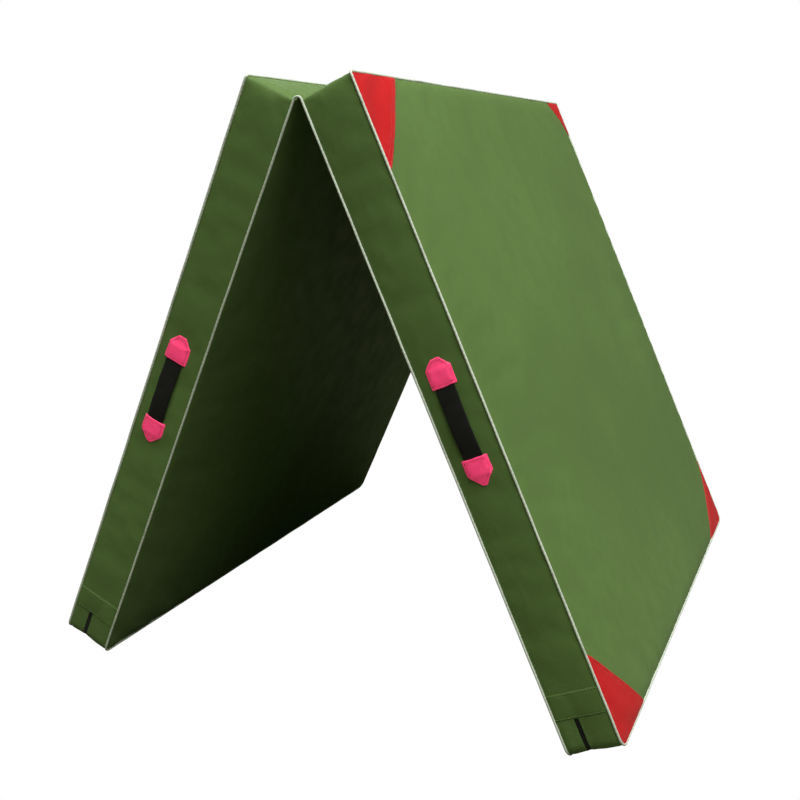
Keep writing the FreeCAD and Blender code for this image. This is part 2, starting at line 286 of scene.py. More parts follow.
def simulated_fields():
    """The simulated outer face, inner face and wall, as heights over the flat form."""
    flat = np.zeros((NU, NW))
    wall = np.zeros((len(LOOP), len(ROWS)))
    base = pad_points(flat, flat, wall, ROWS)
    start = base + np.random.default_rng(5).normal(0, 0.15 * MM, base.shape)
    pinned = np.concatenate((SEAM_VERTS, SEAM_VERTS + FACE))
    start[pinned] = base[pinned]
    moved = simulate(start, np.concatenate(pad_faces(ROWS)), pinned.tolist()) - base
    outer, inner = moved[: 2 * FACE, 2].reshape(2, NU, NW)
    sideways = moved[2 * FACE :].reshape(len(LOOP), -1, 3)[..., :2]
    wall[:, 1:-1] = (sideways * LOOP_NORMALS[:, None, :]).sum(-1)
    return outer, -inner, wall


def blurred(field, passes, wrap=False):
    """A field averaged with its neighbours, with its edges held at zero."""
    for _ in range(passes):
        mode = "wrap" if wrap else "constant"
        padded = np.pad(field, ((1, 1), (0, 0)), mode)
        field = (padded[:-2] + 2 * field + padded[2:]) / 4
        padded = np.pad(field, ((0, 0), (1, 1)))
        field = (padded[:, :-2] + 2 * field + padded[:, 2:]) / 4
    return field


def settled(field, kind, wrap=False):
    """Caps the broad swell and the wrinkles on it apart, as firm foam under the cloth does."""
    broad = blurred(field, 8, wrap)
    swell, wrinkle = SWELL[kind], WRINKLE[kind]
    return swell * np.tanh(broad / swell) + wrinkle * np.tanh((field - broad) / wrinkle)


def swell_fields():
    """How far the outer face, the inner face and the wall stand out from the flat form."""
    from_end = np.minimum(US - U0, U1 - US)[:, None]
    from_side = np.minimum(WS + W1, W1 - WS)[None, :]
    distance = np.minimum(from_end, from_side)
    outer, inner, wall = simulated_fields()
    room = SEAM_DROP - FOLDED_CLEARANCE + (US - U0)[:, None] * math.tan(FOLDED_GAP / 2)
    inner = room * np.tanh(settled(inner, "inner") / room)
    near_seam = np.exp(-distance / (16 * MM)) * (1 - np.exp(-distance / (3 * MM)))
    near_seam /= near_seam.max()
    beside = ripple(US, 11)[:, None] * np.exp(-from_side / (16 * MM))
    beside += ripple(WS, 12)[None, :] * np.exp(-from_end / (16 * MM))
    uneven = ripple(US, 21, 0.16, 0.5)[:, None] * ripple(WS, 22, 0.16, 0.5)[None, :]
    uneven *= 1 - np.exp(-distance / (60 * MM))
    pucker = PUCKER * beside * near_seam
    outer = settled(outer, "outer") + pucker + UNEVEN["outer"] * uneven
    inner = inner + pucker + UNEVEN["inner"] * uneven
    return outer, inner, settled(wall, "wall", wrap=True)


def sample(xs, ys, field, x, y):
    """Bilinear reading of field, given on the lines xs and ys."""
    i = np.clip(np.searchsorted(xs, x) - 1, 0, len(xs) - 2)
    j = np.clip(np.searchsorted(ys, y) - 1, 0, len(ys) - 2)
    s = np.clip((x - xs[i]) / (xs[i + 1] - xs[i]), 0, 1)
    t = np.clip((y - ys[j]) / (ys[j + 1] - ys[j]), 0, 1)
    low = field[i, j] * (1 - s) + field[i + 1, j] * s
    high = field[i, j + 1] * (1 - s) + field[i + 1, j + 1] * s
    return low * (1 - t) + high * t


# ---- the outline round a panel
def outline(step=12 * MM, arc_steps=8):
    """Plan points and outward normals round the cover, near side first, from the hinge end."""
    corners = (
        (U0 + R_HINGE, -W1 + R_HINGE, R_HINGE, -180),
        (U1 - R_FREE, -W1 + R_FREE, R_FREE, -90),
        (U1 - R_FREE, W1 - R_FREE, R_FREE, 0),
        (U0 + R_HINGE, W1 - R_HINGE, R_HINGE, 90),
    )
    points, normals = [], []
    for index, (u, w, radius, start) in enumerate(corners):
        angles = np.radians(start + np.linspace(0, 90, arc_steps + 1))
        arc_normals = np.stack((np.cos(angles), np.sin(angles)), -1)
        arc = np.array((u, w)) + radius * arc_normals
        next_u, next_w, next_radius, _ = corners[(index + 1) % 4]
        target = np.array((next_u, next_w)) + next_radius * arc_normals[-1]
        count = max(2, round(np.linalg.norm(target - arc[-1]) / step))
        between = np.linspace(arc[-1], target, count + 1)[1:-1]
        points += [*arc, *between]
        normals += [*arc_normals, *np.repeat(arc_normals[-1:], len(between), 0)]
    return np.array(points), np.array(normals)


RIM, RIM_NORMALS = outline()
RIM_TABLE = looped(np.hstack((RIM, RIM_NORMALS)))
RIM_S = lengths_along(RIM_TABLE[:, :2])
RIM_LENGTH = RIM_S[-1]
GRID_START = R_HINGE * math.pi / 4


def rim_at(s):
    """Plan point and outward normal at arc length s round the cover."""
    s = np.mod(s, RIM_LENGTH)
    read = np.stack([np.interp(s, RIM_S, column) for column in RIM_TABLE.T], -1)
    return read[..., :2], read[..., 2:]


def rim_s(u, end):
    """Arc length round the cover at u on the near or the far side face."""
    on_side = (np.abs(RIM[:, 1] - ENDS[end] * W1) < 1e-6).nonzero()[0]
    order = on_side[np.argsort(RIM[on_side, 0])]
    return float(np.interp(u, RIM[order, 0], RIM_S[order]))


ZIP_FROM, ZIP_TO = rim_s(GARAGE_LO[0], "near"), rim_s(GARAGE_LO[0], "far")


class Panel:
    """One panel's cover surface, and where its zip and handles lie on it."""

    def __init__(self, side, fields):
        self.side = side
        self.zip_v = self.middle_height("zip_teeth")
        self.handle_v = self.middle_height("handle_webbing_near")
        self.outer_field, self.inner_field, wall = fields
        u = LOOP_PLAN[:, :1]
        v = row_heights(u[:, 0], ROWS)
        full = FREE_END_BULGE * smooth(np.minimum(V1 - v, v - V0) / (9 * MM))
        share = smooth((u - GARAGE_LO[0] + 60 * MM) / (60 * MM))
        self.wall_field = looped((wall * (1 - share) + full * share) * self.calm(u, v))

    def middle_height(self, node):
        low, high = extent(f"{self.side}_{node}")
        return (low[2] + high[2]) / 2

    def calm(self, u, v):
        """Draws the wall in beside the zip, where the tape is sewn to it."""
        zipped = smooth((u - GARAGE_HI[0] + 25 * MM) / (25 * MM))
        off_zip = smooth((np.abs(v - self.zip_v) - ZIP_SLOT_HALF) / (22 * MM))
        return 1 - zipped * (1 - off_zip)

    def outer(self, u, w, lift):
        """Points over the outer face, lifted off it."""
        out = sample(US, WS, self.outer_field, u, w) + lift
        return np.stack((*rounded(u, w), V1 - SEAM_DROP + out), -1)

    def rim(self, s, v, lift):
        """Points over the wall at arc length s and height v, lifted off it."""
        plan, normal = rim_at(s)
        low = inner_seam(plan[..., 0])
        row = (v - low) / (V1 - SEAM_DROP - low)
        along = np.mod(s - GRID_START, RIM_LENGTH) * LOOP_S[-1] / RIM_LENGTH
        out = sample(LOOP_S, ROWS, self.wall_field, along, row) + lift
        return np.concatenate((plan + normal * out[..., None], v[..., None]), -1)

    def rows(self):
        """The wall's rows, with lines added for the zip's slot."""
        low = V0 + SEAM_DROP
        span = V1 - SEAM_DROP - low
        slot = ZIP_SLOT_HALF
        inner = np.array([-slot, -slot + 0.2 * MM, -slot / 2, 0, slot / 2, slot - 0.2 * MM, slot])
        zip_rows = (self.zip_v + inner - low) / span
        clear = 1.5 * MM / span
        kept = [r for r in ROWS if r < zip_rows[0] - clear or r > zip_rows[-1] + clear]
        return np.sort(np.concatenate((kept, zip_rows)))


def new_piece(name, points, groups, panel, look, wear=None, sharp=50):
    """A mesh object in one of the looks. groups are (faces, uv per vertex) pairs.

    With a panel, its side comes before the name, the points are panel coordinates
    and the piece rides on it."""
    turn = 1
    if panel:
        name = f"{panel.side}_{name}"
        turn = int(SIDES[panel.side])
        points = to_world(points, panel.side)
    faces, uvs = [], []
    for group, uv in groups:
        rows = [list(f)[::turn] for f in group]
        faces += rows
        uvs += [uv[i] for row in rows for i in row]
    mesh = bpy.data.meshes.new(name)
    mesh.from_pydata(points.tolist(), [], faces)
    layer = mesh.uv_layers.new(name="Cloth")
    layer.data.foreach_set("uv", np.array(uvs, np.float32).ravel())
    if wear is not None:
        attribute = mesh.attributes.new("wear", "FLOAT", "POINT")
        attribute.data.foreach_set("value", np.asarray(wear, np.float32))
    mesh.polygons.foreach_set("use_smooth", np.ones(len(mesh.polygons), bool))
    mesh.set_sharp_from_angle(angle=math.radians(sharp))
    mesh.materials.append(MATERIALS[look])
    mesh.validate()
    obj = new_object(name, mesh)
    if panel:
        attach(obj, f"{panel.side}_panel")
    return obj


def sewn_on(piece, panel, node, flat, on=(), **more):
    """Hides the CAD node that a piece stretched over the pad takes the place of."""
    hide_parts(f"{panel.side}_{node}")


def renumbered(faces, first):
    """Faces whose vertex numbers start at first."""
    return [[first + i for i in face] for face in faces]


def tube_faces(rings, sides, closed):
    """Quads round a run of rings, and its two end caps when it is open."""
    table = np.arange(rings * sides).reshape(rings, sides)
    ends = [] if closed else [table[0, ::-1].tolist(), table[-1].tolist()]
    table = np.hstack((table, table[:, :1]))
    around = quads(looped(table) if closed else table)
    return around[:, (0, 3, 2, 1)].tolist() + ends


def build_pad(panel):
    """The filled cover of one panel, with the zip's slot round its free end."""
    rows = panel.rows()
    u = LOOP_PLAN[:, 0]
    v = row_heights(u, rows)
    along = LOOP_S[:-1, None]
    wall = sample(LOOP_S, ROWS, panel.wall_field, along, rows[None, :])
    in_slot = np.abs(v - panel.zip_v) < ZIP_SLOT_HALF - 0.1 * MM
    in_zip = smooth((u - GARAGE_LO[0] - 15 * MM) / (8 * MM))[:, None]
    wall -= ZIP_SLOT_DEPTH * in_slot * in_zip
    points = pad_points(panel.outer_field, panel.inner_field, wall, rows)
    path = np.stack((np.broadcast_to(along, v.shape), v), -1)
    wall_uv = np.zeros((len(points), 2))
    wall_uv[SEAM_VERTS], wall_uv[SEAM_VERTS + FACE] = path[:, -1], path[:, 0]
    wall_uv[2 * FACE :] = path[:, 1:-1].reshape(-1, 2)
    groups = zip(pad_faces(rows), (points[:, :2], points[:, :2], wall_uv))
    pad = new_piece("pad", points, groups, panel, "green", pad_wear(points), sharp=35)
    nodes = ["outer_cover", "inner_cover", "hinge_end_gusset", "side_gusset_near", "side_gusset_far"]
    nodes += ["zip_gusset_outer", "zip_gusset_inner", "soft_core", "firm_layer"]
    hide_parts(*[f"{panel.side}_{n}" for n in nodes])


def pad_wear(points):
    """Wear from 0 to 1: most along the seams and at the free end that stands on the floor."""
    u, w, v = points.T
    gaps = np.sort(np.stack((u - U0, U1 - u, W1 - np.abs(w), v - V0, V1 - v)), 0)
    edge = np.exp(-np.maximum(gaps[1], 0) / (9 * MM))
    foot = np.exp(-np.maximum(U1 - u, 0) / (55 * MM))
    return np.clip(0.55 * edge + 0.6 * foot, 0, 1)


# ---- sewn-on pieces
def inward_edges(corners):
    """Each edge of a convex outline: its start, its direction and its inward normal."""
    edges = []
    for a, b in zip(corners, np.roll(corners, -1, 0)):
        along = (b - a) / np.linalg.norm(b - a)
        inward = np.array((-along[1], along[0]))
        inward = inward if (corners.mean(0) - a) @ inward > 0 else -inward
        edges.append((a, along, inward))
    return edges


def cut_grid(corners, step, rims):
    """A flat grid cut to a convex outline, with lines at each rim distance inside its edges.

    Returns its points, its faces and each point's distance from the outline."""
    corners = np.asarray(corners, float)
    lo, hi = corners.min(0) - 0.31 * step, corners.max(0) + 0.31 * step
    counts = np.ceil((hi - lo) / step).astype(int).tolist()
    bm = bmesh.new()
    bmesh.ops.create_grid(bm, x_segments=counts[0], y_segments=counts[1], size=0.5)
    for vert in bm.verts:
        vert.co.xy = lo + (np.array(vert.co.xy) + 0.5) * (hi - lo)
    edges = inward_edges(corners)
    for a, _, inward in edges:
        for depth in (0, *rims):
            geom = bm.verts[:] + bm.edges[:] + bm.faces[:]
            plane = {"plane_co": (*(a + inward * depth), 0), "plane_no": (*-inward, 0)}
            bmesh.ops.bisect_plane(bm, geom=geom, dist=1e-6, clear_outer=depth == 0, **plane)
    bm.verts.index_update()
    points = np.array([v.co[:2] for v in bm.verts])
    faces = [tuple(v.index for v in f.verts) for f in bm.faces]
    bm.faces.ensure_lookup_table()
    if bm.faces[0].normal.z < 0:
        faces = [f[::-1] for f in faces]
    bm.free()
    return points, faces, np.min([(points - a) @ inward for a, _, inward in edges], 0)


def hem(distance, thickness, seam=HEM, width=1.4 * MM):
    """Height of sewn-on cloth: turned under at its edge, and drawn down along its seam."""
    rise = smooth((distance + 0.05 * MM) / width)
    drawn = 0.25 * thickness * np.exp(-(((distance - seam) / (1.0 * MM)) ** 2))
    return -0.5 * MM + (thickness + 0.5 * MM) * rise - drawn


def inset(corners, depth):
    """A convex outline moved in by depth."""
    lines = [(a + inward * depth, along) for a, along, inward in inward_edges(corners)]
    moved = []
    for (p, d), (q, e) in zip(lines[-1:] + lines[:-1], lines):
        t = np.linalg.solve(np.stack((d, -e), -1), q - p)[0]
        moved.append(p + d * t)
    return np.array(moved)


def stitch_runs(path, pitch=4.5 * MM, length=3.4 * MM):
    """Stitches along a path's straight lines, as (start, end) pairs."""
    path = np.asarray(path, float)
    runs = []
    for a, b in zip(path[:-1], path[1:]):
        count = max(1, round(np.linalg.norm(b - a) / pitch))
        along = (b - a) / count
        gap = np.linalg.norm(along)
        short = along / gap * min(length, gap * 0.8)
        for k in range(count):
            start = a + along * k
            runs.append((start + (along - short) / 2, start + (along + short) / 2))
    return runs


STITCH_RINGS = ((0.0, 0.25), (0.12, 0.8), (0.5, 1.0), (0.88, 0.8), (1.0, 0.25))
STITCH_SIDES = 6
STITCH_FACES = tube_faces(len(STITCH_RINGS), STITCH_SIDES, closed=False)


class Thread:
    """Collects the stitches of one colour on one panel, and makes them one piece."""

    def __init__(self):
        self.points, self.faces = [], []

    def sew(self, runs, surface, outward, radius=0.42 * MM):
        """Adds a rounded thread for every run, lying on a surface."""
        for start, end in runs:
            a, b = surface(np.array([start, end]))
            along = (b - a) / np.linalg.norm(b - a)
            across = np.cross(along, outward(start))
            across /= np.linalg.norm(across)
            up = np.cross(across, along)
            self.faces += renumbered(STITCH_FACES, len(self.points))
            for share, thick in STITCH_RINGS:
                sink = -0.45 * radius * (2 * share - 1) ** 2
                centre = a + (b - a) * share + up * sink
                for k in range(STITCH_SIDES):
                    angle = 2 * math.pi * k / STITCH_SIDES
                    ring = across * math.cos(angle) + up * math.sin(angle)
                    self.points.append(centre + ring * radius * thick)

    def sew_wall(self, runs, panel, lift, radius=0.42 * MM):
        """Sews runs given as arc length and height, at a lift from the wall."""
        self.sew(runs, lambda p: panel.rim(*p.T, lift), lambda p: rim_outward(p[0]), radius)

    def finish(self, name, panel, look):
        points = np.array(self.points)
        uv = points[:, :2] + points[:, 2:]
        new_piece(name, points, ((self.faces, uv),), panel, look)


def build_corners(panel):
    """The four red corner pieces on the outer face, each with a double row of stitches."""
    thread = Thread()
    for place, u_corner, u_sign in (("top", U0, 1), ("bottom", U1, -1)):
        for end, side in ENDS.items():
            name = f"corner_{place}_{end}"
            low, high = extent(f"{panel.side}_{name}")
            leg = high[0] - low[0]
            corner = np.array((u_corner, side * W1))
            a, b = corner + (u_sign * leg, 0), corner - (0, side * leg)
            diagonal = b - a
            normal = np.array((u_sign, -side)) / math.sqrt(2)
            points, faces, distance = cut_grid((corner, a, b), 6 * MM, HEM_LINES)
            from_diagonal = (a - points) @ normal
            waves = 0.3 * MM * ripple((points - a) @ (diagonal / np.linalg.norm(diagonal)), 31)
            waves *= np.exp(-from_diagonal / (12 * MM)) * smooth(from_diagonal / (3 * MM))
            lift = 0.15 * MM + hem(from_diagonal, 0.9 * MM) + waves
            shaped = panel.outer(*points.T, lift)
            wear = 0.8 * np.exp(-distance / (8 * MM))
            piece = new_piece(f"{name}_cloth", shaped, ((faces, points),), panel, "red", wear)
            flat = leg + 2 * TURNED_IN
            sewn_on(piece, panel, name, (flat, flat), area=flat**2 / 2)
            for depth in (3.5 * MM, 10 * MM):
                ends = (a - normal * depth + diagonal * 0.03, b - normal * depth - diagonal * 0.03)
                thread.sew(stitch_runs(ends), lambda p: panel.outer(*p.T, 0.95 * MM), lambda _: (0, 0, 1))
    thread.finish("corner_stitching", panel, "red_thread")


def rim_outward(s):
    """Outward direction of the wall at arc length s."""
    _, normal = rim_at(s)
    return np.array((*normal, 0.0))


def build_garages(panel, thread):
    """The cloth rectangles over the zip's two ends."""
    for end in ENDS:
        s0, s1 = sorted((rim_s(GARAGE_LO[0], end), rim_s(GARAGE_HI[0], end)))
        v0, v1 = V0 + SEAM_DROP + 0.4 * MM, V1 - SEAM_DROP - 0.4 * MM
        points, faces, _ = cut_grid(((s0, v0), (s1, v0), (s1, v1), (s0, v1)), 5 * MM, HEM_LINES)
        from_hem = np.minimum(points[:, 0] - s0, s1 - points[:, 0])
        lift = hem(from_hem, 0.9 * MM, width=3 * MM)
        lift += 0.3 * MM * ripple(points[:, 1], 41) * smooth(from_hem / (8 * MM))
        shaped = panel.rim(*points.T, lift)
        wear = 0.3 * np.exp(-from_hem / (4 * MM))
        piece = new_piece(f"zip_garage_{end}", shaped, ((faces, points),), panel, "green", wear)
        flip_to_outside(piece, end)
        sewn_on(piece, panel, f"zip_cover_{end}", (v1 - v0, s1 - s0 + 2 * HEM))
        for s in (s0 + 3.5 * MM, s1 - 3.5 * MM):
            thread.sew_wall(stitch_runs(((s, v0 + 2 * MM), (s, v1 - 2 * MM))), panel, 0.9 * MM)


def flip_to_outside(piece, end):
    """Turns a side-face piece's normals outward when they look inward."""
    if piece.data.polygons[0].normal.y * ENDS[end] < 0:
        piece.data.flip_normals()


def strap_lift(x, z):
    """Height of cloth over the strap's sewn-down ends, from the side face."""
    over = 1 - smooth((np.abs(z) - STRAP_WIDTH / 2 + 0.5 * MM) / (4 * MM))
    under_end = 1 - smooth((np.abs(x) - STRAP_HALF + 1 * MM) / (5 * MM))
    return STRAP_THICK * over * under_end


def build_handles(panel):
    """Two webbing handles, each held down at both ends by a patch with a blunt point."""
    thread = Thread()
    half = (PATCH_HI[2] - PATCH_LO[2]) / 2
    for number, (end, side) in enumerate(ENDS.items()):
        centre = rim_s(HANDLE_U, end)
        build_strap(panel, end, centre)

        def over_strap(p, lift):
            """Points given from the handle's centre, lifted off the side face and the strap."""
            return panel.rim(centre + p[:, 0], panel.handle_v + p[:, 1], strap_lift(*p.T) + lift)

        for which, sign, longer, blunt in (("lower", -side, 0, 0.16), ("upper", side, 4 * MM, 0.34)):
            x0 = sign * GRIP_HALF
            x1 = sign * (GRIP_HALF + PATCH_SHOULDER + longer)
            x2 = sign * (PATCH_HI[0] - HANDLE_U)
            tip = blunt * half
            corners = np.array([(x0, -half), (x1, -half), (x2, -tip), (x2, tip), (x1, half), (x0, half)])
            points, faces, distance = cut_grid(corners, 3 * MM, PATCH_LINES)
            seed = 50 + number * 4 + (sign > 0) * 2 + (panel.side == "left")
            edge = np.exp(-distance / (5 * MM))
            middle = np.array(((x0 + x2) / 2, 0))
            around = np.arctan2(points[:, 1], points[:, 0] - middle[0]) * 20 * MM
            spread = 1 + 0.018 * ripple(around, seed) * edge
            puff = 0.5 * MM * smooth((distance - 5 * MM) / (6 * MM))
            moved = middle + (points - middle) * spread[:, None]
            shaped = over_strap(moved, hem(distance, 1.2 * MM) + puff)
            wear = np.minimum(edge, 1)
            piece = new_piece(f"patch_{end}_{which}", shaped, ((faces, points),), panel, "pink", wear)
            flip_to_outside(piece, end)
            flat = (2 * (half + TURNED_IN), abs(x2 - x0) + 2 * TURNED_IN)
            area = 0.8 * flat[0] * flat[1]
            sewn_on(piece, panel, f"handle_patch_{end}_{which}", flat, [f"strap_{end}"], area=area)
            border = inset(corners, HEM)
            runs = []
            for path in (looped(border), border[[0, 4]], border[[5, 1]]):
                runs += stitch_runs(path, 3.6 * MM, 2.8 * MM)
            thread.sew(
                runs, lambda p: over_strap(p, 1.35 * MM), lambda p: rim_outward(centre + p[0]), 0.4 * MM
            )
    thread.finish("patch_stitching", panel, "pink_thread")


def build_strap(panel, end, centre):
    """Flat webbing, sewn down at both ends and bowed out at the grip."""
    stations = np.linspace(-STRAP_HALF, STRAP_HALF, 77)
    grip = np.clip(1 - (stations / GRIP_HALF) ** 2, 0, 1)
    height = STRAP_THICK / 2 + GRIP_TAUT * GRIP_RISE * grip
    tilt = np.arctan(np.gradient(height, stations))[:, None]
    angles = np.linspace(0, 2 * math.pi, 21)[:-1]
    across = STRAP_WIDTH / 2 * np.sign(np.cos(angles)) * np.abs(np.cos(angles)) ** 0.35
    through = STRAP_THICK / 2 * np.sign(np.sin(angles)) * np.abs(np.sin(angles)) ** 0.6
    cupped = 0.4 * MM * (across / (STRAP_WIDTH / 2)) ** 2
    out = through - cupped * grip[:, None]
    s = centre + stations[:, None] - out * np.sin(tilt)
    v = np.broadcast_to(panel.handle_v + across, s.shape)
    points = panel.rim(s, v, height[:, None] + out * np.cos(tilt)).reshape(-1, 3)
    faces = tube_faces(len(stations), len(angles), closed=False)
    groups = ((faces, pairs(stations, across)),)
    piece = new_piece(f"strap_{end}", points, groups, panel, "webbing")
    outward_normals(piece)
    sewn_on(piece, panel, f"handle_webbing_{end}", (STRAP_WIDTH, 2 * STRAP_HALF + 6 * MM))


def outward_normals(piece):
    """Makes a closed mesh's normals point out of it."""
    bm = bmesh.new()
    bm.from_mesh(piece.data)
    bmesh.ops.recalc_face_normals(bm, faces=bm.faces[:])
    bm.to_mesh(piece.data)
    bm.free()


# ---- zip
TOOTH_PITCH = 2.6 * MM
TOOTH_HALF = ((0.55, -3.0), (0.5, -0.9), (0.78, -0.1), (0.62, 0.75))  # mm, from stem to head
TOOTH_OUTLINE = [(-0.55, -3.0), *TOOTH_HALF] + [(-x, y) for x, y in TOOTH_HALF[:0:-1]]
TOOTH_LEVELS = ((0.0, 1.0), (1.9, 1.0), (2.6, 0.72))  # height in mm, share of the width
TOOTH_SHIFT = 0.2 * MM
TOOTH_ROOT = 3.1 * MM  # how deep in the slot the teeth start


def build_zip(panel, thread):
    """Tape, teeth and the stitches beside the slot, round the free end."""
    stations = np.arange(ZIP_FROM, ZIP_TO + 1e-9, 6 * MM)
    columns = np.array((2.0, 3.2, 6.0, 10.0, 15.5)) * MM
    table = numbered(len(stations), len(columns))
    points, uv, faces = [], [], []
    for sign in (-1, 1):
        places = pairs(stations, panel.zip_v + sign * columns)
        depth = -1.5 * MM - 0.9 * MM * (np.abs(places[:, 1] - panel.zip_v) > 7 * MM)
        faces += renumbered(quads(table)[:, ::sign], len(points) * table.size)
        points.append(panel.rim(*places.T, depth))
        uv.append(places)
    groups = ((faces, np.concatenate(uv)),)
    tape = new_piece("tape", np.concatenate(points), groups, panel, "tape")
    sewn_on(tape, panel, "zip_tape", (27 * MM, ZIP_TO - ZIP_FROM))
    build_teeth(panel)
    first, last = [rim_s(GARAGE_HI[0], end) for end in ENDS]
    for sign in (-1, 1):
        v = panel.zip_v + sign * (ZIP_SLOT_HALF + 3 * MM)
        marks = np.arange(first + 3 * MM, last - 3 * MM, 4.5 * MM)
        runs = [((s, v), (s + 3.3 * MM, v)) for s in marks]
        thread.sew_wall(runs, panel, 0.05 * MM, 0.36 * MM)


def build_teeth(panel):
    """Two rows of moulded teeth that interlock along the middle of the slot."""
    ring = len(TOOTH_OUTLINE)
    template = tube_faces(len(TOOTH_LEVELS), ring, closed=False)
    corners = np.tile(np.array(TOOTH_OUTLINE) * MM, (len(TOOTH_LEVELS), 1))
    heights, shares = np.repeat(TOOTH_LEVELS, ring, axis=0).T
    along = corners[:, 0] * shares
    across = corners[:, 1] + TOOTH_SHIFT * shares
    points, faces, uv = [], [], []
    for k in range(int((ZIP_TO - ZIP_FROM - 4 * MM) / (TOOTH_PITCH / 2))):
        s = ZIP_FROM + 2 * MM + k * TOOTH_PITCH / 2
        flip = 1 if k % 2 else -1
        faces += renumbered([face[::flip] for face in template], k * len(along))
        points.append(panel.rim(s + along, panel.zip_v + flip * across, heights * MM - TOOTH_ROOT))
        uv += [(s, panel.zip_v)] * len(along)
    groups = ((faces, np.array(uv)),)
    teeth = new_piece("teeth", np.concatenate(points), groups, panel, "teeth", sharp=40)
    outward_normals(teeth)
    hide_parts(f"{panel.side}_zip_teeth")


# ---- piping
PIPE_SIDES = 14


def piping_ring(centre, out, up, radius):
    """One ring of welt piping: round, with its flange drawn in towards the seam."""
    angles = np.linspace(0, 2 * math.pi, PIPE_SIDES + 1)[:-1]
    swell = 1 + 0.35 * np.exp(-(((angles - math.pi) / 0.4) ** 2))
    reach = (radius * swell)[:, None]
    return centre + reach * (np.cos(angles)[:, None] * out + np.sin(angles)[:, None] * up)


def piping_piece(name, centres, outs, ups, radii, closed, panel=None):
    """Welt piping along a run of centres, given the directions and radius of each ring."""
    rings = [piping_ring(*ring) for ring in zip(centres, outs, ups, radii)]
    angles = np.linspace(0, 2 * math.pi * PIPE_R, PIPE_SIDES + 1)[:-1]
    groups = ((tube_faces(len(rings), PIPE_SIDES, closed), pairs(lengths_along(centres), angles)),)
    piece = new_piece(name, np.concatenate(rings), groups, panel, "piping", sharp=60)
    outward_normals(piece)
    return piece


def open_rim():
    """The rim without its hinge end, carried straight on to where the fold's piping starts."""
    beside = RIM[:, 0] > U0 + R_HINGE - 0.1 * MM
    plan = np.vstack(((U_PIPE_START, -W1), RIM[beside], (U_PIPE_START, W1)))
    return plan, np.vstack(((0, -1), RIM_NORMALS[beside], (0, 1)))


def build_piping(panel):
    """Piping round the outer face, and round three sides of the inner face."""
    for name, v, closed, seed in (("outer", V1 - PIPE_R, True, 61), ("inner", V0 + PIPE_R, False, 62)):
        plan, normal = (RIM, RIM_NORMALS) if closed else open_rim()
        s = lengths_along(plan)
        fade = 1 if closed else smooth(np.minimum(s, s[-1] - s) / (50 * MM))
        sway, rise = [0.14 * MM * ripple(s, n, 60 * MM, 200 * MM) * fade for n in (seed, seed + 5)]
        radii = PIPE_R * (1 + 0.02 * ripple(s, seed + 9, 30 * MM, 90 * MM) * fade)
        flat = plan + normal * (PIPE_OUT + sway)[:, None]
        centres = np.column_stack((flat, v + rise))
        outs = np.column_stack((normal, np.zeros(len(s))))
        ups = np.tile((0.0, 0.0, 1.0), (len(s), 1))
        piece = piping_piece(f"{name}_welt", centres, outs, ups, radii, closed, panel)
        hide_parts(f"{panel.side}_{name}_piping")


# ---- the fold
def fold_arc(u, v, count):
    """Points on the arc over the fold between (u, v) on both panels, and outward directions."""
    widest = math.asin(COS)
    theta = np.linspace(-widest, widest, count)
    radial = np.stack((np.sin(theta), np.zeros(count), np.cos(theta)), -1)
    return (0, 0, FOLD_Z - u / COS) + (v + u * SIN / COS) * radial, radial


def build_fold():
    """The cloth that runs over the fold, and the piping's bend at each end of it."""
    arc, radial = fold_arc(U_PIPE_START, V0 + PIPE_R, 25)
    for end, side in ENDS.items():
        centres = arc + (0, side * (W1 + PIPE_OUT), 0)
        outs = np.tile((0.0, side, 0.0), (len(arc), 1))
        piece = piping_piece(f"fold_welt_{end}", centres, outs, radial, [PIPE_R] * len(arc), closed=False)
        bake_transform(piece)
        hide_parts(f"fold_piping_{end}")
    web_v = V0 + WEB_DROP
    arc, _ = fold_arc(U0, web_v, 17)
    tail = to_world([(U0 + d * MM, 0, web_v + 0.3 * MM) for d in (3, 7, 12)], "right")
    profile = np.concatenate((tail[::-1] * (-1, 1, 1), arc, tail))
    half = W1 - R_HINGE
    ws = np.linspace(-half, half, 61)
    points = profile[:, None] + ws[:, None] * (0, 1, 0)
    along = lengths_along(profile)
    faces = quads(numbered(len(profile), len(ws)))[:, ::-1]
    web = new_piece("fold_cloth", points.reshape(-1, 3), ((faces, pairs(along, ws)),), None, "green")
    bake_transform(web)
    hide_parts("fold_web")


